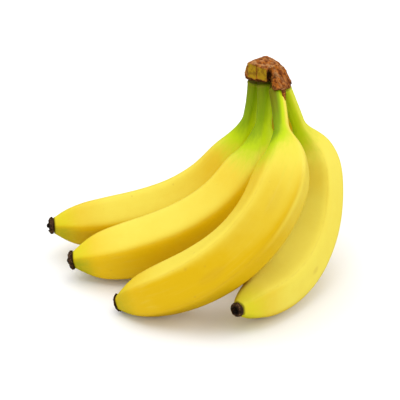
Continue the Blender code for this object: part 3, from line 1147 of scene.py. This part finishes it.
@dataclass
class BlossomEnd:
    """The dried button on a fruit's tip: a ragged rim, a dished face and a nub."""

    banana: Banana
    width: float
    depth: float
    clearance: float = 0.35
    sides: int = 72
    face: float = 2.9
    flakes: int = 12
    flake_size: float = 0.75
    flake_ring: float = 0.68
    flake_dark: tuple = (0.020, 0.010, 0.004, 1.0)
    flake_brown: tuple = (0.24, 0.13, 0.06, 1.0)
    # How far out each ring of the button stands, and its share of the tip's radius.
    profile: tuple = (
        (0.0, 0.88), (0.15, 0.97), (0.5, 1.03), (1.0, 1.06), (1.6, 1.05), (2.2, 1.00), (2.7, 0.90),
        (2.95, 0.77), (2.85, 0.62), (2.7, 0.50), (2.75, 0.40), (3.1, 0.33), (3.6, 0.29), (4.2, 0.24),
        (4.6, 0.16),
    )
    rings_a_step: int = 4
    # The ragged form: share of the radius or depth, waves, and how far the seed is moved.
    bumps: tuple = ((0.06, 0.9, 0.0), (0.09, 2.9, 3.0))
    jag: tuple = (0.22, 2.3, 8.0)
    grain_across: float = 2.2
    grain_along: float = 0.6

    def build(self, effects: Effects, trees: Trees) -> list[Object]:
        """Builds the button and its ring of flakes.

        Args:
            effects: The shared shader groups.
            trees: The shared Geometry Nodes trees.

        Returns:
            The finished pieces, the button first.
        """
        name = self.banana.node.replace("banana", "blossom_button")
        points, heads, square = self.banana.centre_line(np.array([1.0]))
        tip, head = points[0], heads[0]
        end = float(self.banana.radii(np.array([1.0]))[0])
        mesh = self._button(name, tip, head, square, end)
        mesh.materials.append(DriedFinish(f"dried_{self.banana.node}").build(effects))
        button = link(name, mesh)
        finish = DriedFinish(f"flakes_{self.banana.node}", self.flake_dark, self.flake_brown)
        middle = tip + head * (self.clearance + self.face * self.depth)
        flakes = run_tree(link("ring_start", bpy.data.meshes.new("ring_start")), trees.flakes, {
            "Radius": end * self.flake_ring * self.width * MM, "Count": self.flakes,
            "Size": self.flake_size * MM, "Middle": (middle * MM).tolist(),
            "Turn": list(Vector(head).to_track_quat("Z", "Y").to_euler()),
            "Seed": int(self.banana.seed * 10), "Material": finish.build(effects)},
            name.replace("button", "flakes"))
        return [button, flakes]

    def _button(self, name: str, tip: Array, head: Array, square: Array, end: float) -> Mesh:
        """Builds the button.

        Args:
            name: The mesh's name.
            tip: End of the centre line in millimetres.
            head: Unit direction out of the fruit.
            square: Unit normal of the plane that the fruit bends in.
            end: Radius of the peel's end in millimetres.

        Returns:
            The mesh, which stores how near the rim each vertex is.
        """
        turn = circle(self.sides)
        seed = self.banana.seed
        last = len(self.profile) - 1
        steps = np.linspace(0, last, self.rings_a_step * last + 1)
        outs, shares = (np.interp(steps, np.arange(last + 1), column) for column in zip(*self.profile))
        rings = []
        for out, size in zip(outs, shares):
            spread = size * self.grain_across
            ring = np.stack([np.cos(turn) * spread, np.sin(turn) * spread,
                             np.full_like(turn, out * self.grain_along)], 1)
            rough = 1.0 + sum(share * wave(ring, pace, seed + more) for share, pace, more in self.bumps)
            deep, pace, more = self.jag
            jag = deep * wave(ring, pace, seed + more)[:, None] * Ease(0.3, 0.9)(out)
            rings.append(tip + head * (self.clearance + out * self.depth + jag)
                         + spokes(turn, head, square) * (end * size * self.width * rough)[:, None])
        mesh = loft_mesh(name, np.array(rings))
        store(mesh, Attr.RIM, np.concatenate([np.repeat(Ease(0.45, 0.95)(shares), self.sides), [1.0, 0.0]]))
        return mesh


@dataclass(frozen=True)
class Stub:
    """A stalk cut off at the crown's front.

    The clean cut stands over the line from left to right, between two heights, and runs on
    past the left end by what wider says.
    """

    left: tuple
    right: tuple
    low: float
    high: float
    wider: float

    @property
    def width(self) -> float:
        """Width of the cut face."""
        return math.dist(self.left, self.right)

    @property
    def out(self) -> Array:
        """Level unit direction that the cut faces."""
        (x0, y0), (x1, y1) = self.left, self.right
        return np.array(((y1 - y0) / self.width, -(x1 - x0) / self.width))

    def corners(self, depth: float) -> list:
        """Gives the corners of the stub as a block of some depth."""
        feet = [np.array(foot) - self.out * back
                for back in (0.0, depth) for foot in (self.left, self.right)]
        return [(*foot, height) for foot in feet for height in (self.low, self.high)]

    def face(self, place: Array, normals: Array) -> Array:
        """Finds the clean cut.

        Args:
            place: Points in millimetres from the bunch's own place.
            normals: Unit normals at them.

        Returns:
            1 on the cut face and 0 elsewhere.
        """
        level = place[:, :2] - self.left
        side = level @ (np.subtract(self.right, self.left) / self.width)
        inside = Ease(-self.wider, 0.3 - self.wider)(side) * Ease(self.width - 0.3, self.width).out(side)
        above = Ease(self.low + 0.2, self.low + 1.2)(place[:, 2])
        below = Ease(self.high - 1.1, self.high - 0.4).out(place[:, 2])
        facing = Ease(0.45, 0.8)(normals[:, :2] @ self.out)
        return Ease(-1.6, -0.8)(level @ self.out) * inside * above * below * facing


@dataclass
class Crown:
    """The torn stump: a core, a torn face with a tongue, and two cut stalks."""

    voxel: float = 0.45
    stub_depth: float = 13.0
    core: tuple = (
        (-18.6, 12.7, 129.3), (-19.0, 22.0, 127.0), (-13.0, 27.6, 127.0), (1.5, 27.8, 127.0),
        (9.5, 20.5, 127.2), (10.8, 9.0, 127.6), (3.0, 1.0, 130.4), (-12.0, 5.0, 131.0),
        (-20.3, 12.6, 133.3), (-18.6, 12.8, 141.0), (-15.8, 21.0, 139.4), (-6.0, 19.5, 143.9),
        (2.6, 17.0, 139.8), (-10.0, 4.0, 141.5), (0.0, 6.0, 140.4), (5.6, 12.0, 138.6),
    )
    torn_face: tuple = (
        (-2.6, -6.2, 129.6), (2.2, -6.6, 129.4), (6.0, -3.6, 128.8), (9.6, 4.0, 126.8), (10.4, 9.5, 129.8),
        (-3.4, -2.6, 135.5), (-4.6, 3.5, 141.8), (1.2, 5.0, 141.6), (6.8, 8.6, 136.0), (-2.0, 12.0, 140.0),
        (-1.5, 6.0, 129.5), (6.5, 12.0, 129.0),
    )
    tongue: tuple = (
        (2.6, -6.6, 130.5), (5.6, -5.0, 130.5), (3.0, -8.4, 126.8), (5.4, -7.4, 126.4), (3.6, -9.9, 124.0),
        (3.6, -3.5, 128.0), (5.6, -3.5, 127.0), (4.0, -8.0, 123.4), (5.5, -9.6, 123.4), (5.4, -8.0, 123.2),
    )
    stubs: tuple = (
        Stub((-18.3, 9.35), (-13.2, 4.4), 132.0, 142.6, 1.0),
        Stub((-12.6, 4.1), (-6.6, -1.4), 133.0, 142.1, 0.0),
    )
    # The cleft beside the cuts and the ragged torn edge next to it, both drawn with painted shade: place
    # across with width, and upper end.
    cleft: tuple = (-4.6, 1.3)
    cleft_top: Ease = Ease(139.5, 142.0)
    cleft_depth: float = 1.9
    ragged: tuple = (-2.0, 1.7)
    ragged_top: Ease = Ease(137.0, 139.5)
    # The painted shade at the foot under the cuts: its upper end, and its right end across.
    foot_top: Ease = Ease(131.6, 132.8)
    foot_right: Ease = Ease(-6.0, -4.0)
    # The painted shade on the front above the tongue, and the pale upper left side.
    front_low: Ease = Ease(127.4, 128.6)
    front_high: Ease = Ease(129.4, 131.0)
    left_side: Ease = Ease(132.0, 137.0)
    # The torn surface: depth, waves to the millimetre and seed of its lumps, strands and grit.
    lumps: tuple = (0.45, 0.33, 2.0)
    strands: tuple = (0.42, 0.62, 4.0)
    grit: tuple = (0.22, 1.4, 9.0)
    grain_lie: tuple = (0.55, -0.25, -0.80)
    grain_stretch: float = 0.18
    roughness: float = 0.85
    cut_evenness: float = 0.9
    fibre_density: float = 250000.0
    fibre_length: float = 1.5
    fibre_width: float = 0.16
    fibre_lie: tuple = (0.35, -0.45, -0.9)
    fibre_seed: int = 5

    @staticmethod
    def _hull(name: str, corners: list | tuple) -> Object:
        """Makes the hull of some corners an object.

        Args:
            name: The object's name.
            corners: Places in millimetres from the bunch's own place.

        Returns:
            The object.
        """
        mesh = bpy.data.meshes.new(name)
        with edited(mesh) as bm:
            for corner in corners:
                bm.verts.new((np.array(corner) + BUNCH_AT) * MM)
            found = bmesh.ops.convex_hull(bm, input=bm.verts)
            spare = [item for item in found["geom_interior"] if isinstance(item, bmesh.types.BMVert)]
            bmesh.ops.delete(bm, geom=spare, context="VERTS")
            bmesh.ops.recalc_face_normals(bm, faces=bm.faces)
        return link(name, mesh)

    def build(self, effects: Effects, trees: Trees) -> list[Object]:
        """Builds the crown and its fibres.

        Args:
            effects: The shared shader groups.
            trees: The shared Geometry Nodes trees.

        Returns:
            The finished pieces, the crown first.
        """
        lumps = [self._hull("core", self.core), self._hull("torn_face", self.torn_face),
                 self._hull("tongue", self.tongue)]
        lumps += [self._hull("stub", stub.corners(self.stub_depth)) for stub in self.stubs]
        mesh = self._fused(lumps)
        self._carve(mesh)
        mesh.materials.append(CrownFinish("torn_crown").build(effects))
        mesh.shade_smooth()
        crown = link("crown_stump", mesh)
        fibres = run_tree(link("fibre_start", mesh.copy()), trees.fibres, {
            "Density": self.fibre_density, "Length": self.fibre_length * MM, "Width": self.fibre_width * MM,
            "Seed": self.fibre_seed, "Lie": self.fibre_lie,
            "Material": CrownFinish("torn_fibre").build(effects)}, "crown_fibres")
        return [crown, fibres]

    def _fused(self, lumps: list[Object]) -> Mesh:
        """Fuses the lumps into one fine closed mesh.

        Args:
            lumps: Objects of the hulls, which are removed.

        Returns:
            The fused mesh.
        """
        base = lumps[0]
        for lump in lumps[1:]:
            union = base.modifiers.new("Union", "BOOLEAN")
            union.operation = "UNION"
            union.object = lump
            union.solver = "EXACT"
        remesh = base.modifiers.new("Remesh", "REMESH")
        remesh.mode = "VOXEL"
        remesh.voxel_size = self.voxel * MM
        soften = base.modifiers.new("Smooth", "SMOOTH")
        soften.factor = 0.5
        soften.iterations = 2
        mesh = evaluated(base)
        for lump in lumps:
            bpy.data.objects.remove(lump)
        return mesh

    def _carve(self, mesh: Mesh) -> None:
        """Roughens the torn parts, keeps the cut faces clean and stores what the finish reads.

        Args:
            mesh: The fused crown, whose vertices are moved.
        """
        place = vectors(mesh.vertices, "co") / MM - BUNCH_AT
        normals = vectors(mesh.vertex_normals, "vector")
        cut = np.maximum.reduce([stub.face(place, normals) for stub in self.stubs])
        torn = 1.0 - cut
        rough = self._roughness(place)
        front = -normals[:, 1]
        # Masks of painted shade: the cleft, the foot under the cuts and the underside; the cleft is also
        # pushed in.
        cleft = hump(place[:, 0], *self.cleft) * Ease(0.0, 0.5)(front) * self.cleft_top.out(place[:, 2])
        foot = Ease(0.2, 0.6)(front) * self.foot_top.out(place[:, 2]) * self.foot_right.out(place[:, 0])
        under = Ease(0.15, 0.7)(-normals[:, 2])
        push = rough * (1.0 - self.cut_evenness * cut) * self.roughness - self.cleft_depth * cleft * torn
        place = place + normals * push[:, None]
        mesh.vertices.foreach_set("co", ((place + BUNCH_AT) * MM).astype(np.float32).ravel())

        height = place[:, 2]
        # More painted shade: low crevices, right-facing sides, the front above the tongue and the ragged
        # torn edge.
        edge = Ease(0.10, 0.45)(-rough) * torn
        right = Ease(0.78, 0.95)(normals[:, 0])
        low = Ease(0.1, 0.5)(front) * self.front_high.out(height) * self.front_low(height)
        ragged = hump(place[:, 0], *self.ragged) * Ease(0.0, 0.4)(front)
        ragged *= Ease(-0.25, 0.15)(wave(place, 0.55, 21.0)) * self.ragged_top.out(height)
        top = Ease(0.35, 0.8)(normals[:, 2])
        left = Ease(0.3, 0.8)(-normals[:, 0]) * self.left_side(height)
        store(mesh, Attr.CUT, np.maximum(cut, 0.45 * left))
        # Painted shade: the ragged torn edge, the cleft, the underside, the foot under the cuts, low
        # crevices and the front above the tongue are drawn dark, and right-facing sides darker too.
        store(mesh, Attr.HOLLOW_SHADE, np.maximum.reduce([
            0.85 * ragged * torn, cleft * torn, 0.8 * under, 0.75 * foot, 0.7 * edge, 0.6 * right,
            0.5 * low]))
        store(mesh, Attr.STRAW, np.maximum(top, left) * Ease(-0.15, 0.35)(rough) * torn)
        store(mesh, Attr.TORN, torn * (1.0 - under) * Ease(-0.1, 0.3)(rough))

    def _roughness(self, place: Array) -> Array:
        """Gives the torn surface's height at points.

        Args:
            place: Points in millimetres from the bunch's own place.

        Returns:
            Lumps, strands that run down to the right, and fine grit, added up.
        """
        along = unit(np.array(self.grain_lie))
        across = unit(np.cross(along, (0.0, 1.0, 0.0)))
        grain = place @ np.stack([across, np.cross(along, across), along]).T
        drawn = grain * (1.0, 1.0, self.grain_stretch)
        layers = ((place, self.lumps), (drawn, self.strands), (place, self.grit))
        return sum(depth * wave(spots, pace, seed) for spots, (depth, pace, seed) in layers)


@dataclass(frozen=True)
class Lamp:
    """A soft square light, in metres and watts, which shiny surfaces may mirror."""

    name: str
    place: tuple
    aim: tuple
    size: float
    power: float
    mirrored: bool = True


@dataclass(frozen=True)
class Studio:
    """The floor, the light and the camera."""

    elevation: float = 26.57
    distance: float = 820.68
    pixels_per_mm: float = 1.53
    picture: float = 400.0
    target: tuple = (4.93, -12.06, 60.0)
    sensor: float = 36.0
    floor_size: float = 9.0
    floor_grey: float = 0.84
    sky: float = 0.92
    lamps: tuple = (
        Lamp("softbox_above", (-0.25, 0.20, 1.05), (0.0, 0.0, 0.03), 1.5, 8.8),
        Lamp("softbox_right", (1.05, 0.10, 0.60), (0.05, 0.0, 0.06), 0.8, 4.6),
        Lamp("fill_front", (-0.60, -1.42, 0.75), (0.0, 0.0, 0.05), 1.2, 4.5, mirrored=False),
    )

    def build(self) -> None:
        """Builds the whole studio."""
        scene = bpy.context.scene
        self._camera(scene)
        self._floor()
        for lamp in self.lamps:
            self._light(scene, lamp)
        world = bpy.data.worlds.new("studio_white")
        world.use_nodes = True
        shade = world.node_tree.nodes["Background"]
        shade.inputs["Color"].default_value = (1.0, 1.0, 1.0, 1.0)
        shade.inputs["Strength"].default_value = self.sky
        world.cycles_visibility.glossy = False
        scene.world = world
        scene.view_settings.view_transform = "Standard"

    def _camera(self, scene: bpy.types.Scene) -> None:
        """Places the camera at the photograph's angle.

        Args:
            scene: The scene that it serves.
        """
        tilt = math.radians(self.elevation)
        back = Vector((0.0, -math.cos(tilt), math.sin(tilt)))
        data = bpy.data.cameras.new("camera")
        data.sensor_width = self.sensor
        data.lens = self.distance * self.pixels_per_mm / self.picture * self.sensor
        data.clip_start = 0.01
        camera = bpy.data.objects.new("camera", data)
        camera.location = Vector(self.target) * MM + back * self.distance * MM
        camera.rotation_euler = back.to_track_quat("Z", "Y").to_euler()
        scene.collection.objects.link(camera)
        scene.camera = camera

    def _floor(self) -> None:
        """Lays the pale floor, which shiny surfaces don't mirror."""
        mesh = bpy.data.meshes.new("floor")
        with edited(mesh) as bm:
            bmesh.ops.create_grid(bm, x_segments=2, y_segments=2, size=self.floor_size / 2.0)
        grey = (self.floor_grey, self.floor_grey, self.floor_grey, 1.0)
        mesh.materials.append(MaterialGraph("pale_floor").dress(grey, 0.9, 0.1))
        floor = link("floor", mesh)
        floor.visible_glossy = False

    @staticmethod
    def _light(scene: bpy.types.Scene, lamp: Lamp) -> None:
        """Hangs a light.

        Args:
            scene: The scene that it goes in.
            lamp: What it is like.
        """
        data = bpy.data.lights.new(lamp.name, "AREA")
        data.size = lamp.size
        data.energy = lamp.power
        light = bpy.data.objects.new(lamp.name, data)
        light.location = lamp.place
        light.visible_glossy = lamp.mirrored
        light.rotation_euler = (Vector(lamp.place) - Vector(lamp.aim)).to_track_quat("Z", "Y").to_euler()
        scene.collection.objects.link(light)


@dataclass
class Bunch:
    """All fruits, their blossom ends and the crown."""

    bananas: tuple = (
        Banana("banana_1", 1.0, stalk=(-12.9, 22.5, 124.0), lean=(-0.031, 0.139), heading=191.8, bend=92.3,
               early=0.759, kick=8.2, length=200.9, radius=19.05, tip=0.305, shoulder=(0.129, 0.259),
               ridge=292.0, green=0.90, tip_green=0.80, pale=0.0, lit_right_fade=0.30,
               finish=PeelFinish("peel_1", 11.0)),
        Banana("banana_2", 2.0, stalk=(-6.9, 11.5, 125.4), lean=(0.053, -0.356), heading=176.2, bend=84.1,
               early=0.693, kick=11.4, length=196.8, radius=20.4, tip=0.290, shoulder=(0.114, 0.264),
               ridge=276.0, green=0.90, tip_green=0.95, pale=0.0, lit_right_fade=0.30,
               finish=PeelFinish("peel_2", 47.0, shaded_gold=(0.69, 0.435, 0.002, 1.0))),
        Banana("banana_3", 3.0, stalk=(0.1, -0.6, 126.75), lean=(0.116, -0.809), heading=140.3, bend=94.9,
               early=0.896, kick=10.6, length=205.6, radius=19.0, tip=0.290, shoulder=(0.124, 0.261),
               ridge=274.0, green=1.0, tip_green=0.65, pale=-0.05, lit_right_fade=0.88,
               finish=PeelFinish("peel_3", 83.0),
               bruises=(Bruise(0.398, 321.0, 12.0, 6.0, 0.12), Bruise(0.657, 312.0, 13.0, 5.0, 0.17),
                        Bruise(0.514, 345.0, 22.0, 9.0, 0.06))),
        Banana("banana_4", 4.0, stalk=(6.1, 9.4, 123.8), lean=(0.382, -0.085), heading=229.9, bend=104.0,
               early=0.996, kick=16.0, length=191.0, radius=18.15, tip=0.265, shoulder=(0.127, 0.236),
               ridge=294.0, green=0.60, tip_green=0.80, pale=0.45, lit_right_fade=0.50,
               finish=PeelFinish("peel_4", 129.0),
               bruises=(Bruise(0.682, 321.0, 4.5, 3.0, 0.32),)),
        Banana("banana_5", 5.0, stalk=(-0.1, 21.9, 124.4), lean=(0.222, 0.690), heading=242.5, bend=116.0,
               early=0.856, kick=3.0, length=164.8, radius=17.6, tip=0.280, shoulder=(0.136, 0.271),
               ridge=286.0, green=0.75, tip_green=0.80, pale=0.0, lit_right_fade=0.40, inset=0.35,
               finish=PeelFinish("peel_5", 171.0), bruises=(Bruise(0.248, 75.0, 9.0, 4.5, 0.75),)),
    )
    # Width and depth of each fruit's blossom end against the usual one.
    ends: tuple = ((0.94, 1.0), (1.04, 1.0), (1.0, 0.4), (0.92, 1.0), (1.0, 1.0))

    def build(self, effects: Effects, trees: Trees) -> None:
        """Builds every piece and ties it to the frame.

        Args:
            effects: The shared shader groups.
            trees: The shared Geometry Nodes trees.
        """
        for banana, end in zip(self.bananas, self.ends):
            banana.neighbours = [other for other in self.bananas if other is not banana]
            place(banana.build(effects, trees), Slot.PEEL, banana.node)
            for piece in BlossomEnd(banana, *end).build(effects, trees):
                place(piece, Slot.DRIED, banana.node.replace("banana", "blossom_end"))
        for piece in Crown().build(effects, trees):
            place(piece, Slot.CROWN, "crown")


def place(piece: Object, slot: Slot, node: str) -> None:
    """Ties a piece to the frame.

    Args:
        piece: The finished piece.
        slot: A material slot; not used.
        node: The frame's solid that it stands for.
    """
    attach(piece, ROOT_BODY)
    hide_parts(node)
    log.info("%s stands for %s with %d faces", piece.name, node, len(piece.data.polygons))


def main() -> None:
    """Loads the frame and builds the looks round it."""
    logging.basicConfig(level=logging.INFO, format="%(name)s: %(message)s")
    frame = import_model()
    log.info("frame holds %d solids", len(frame["nodes"]))
    Studio().build()
    Bunch().build(Effects(), Trees())


if __name__ == "__main__":
    main()
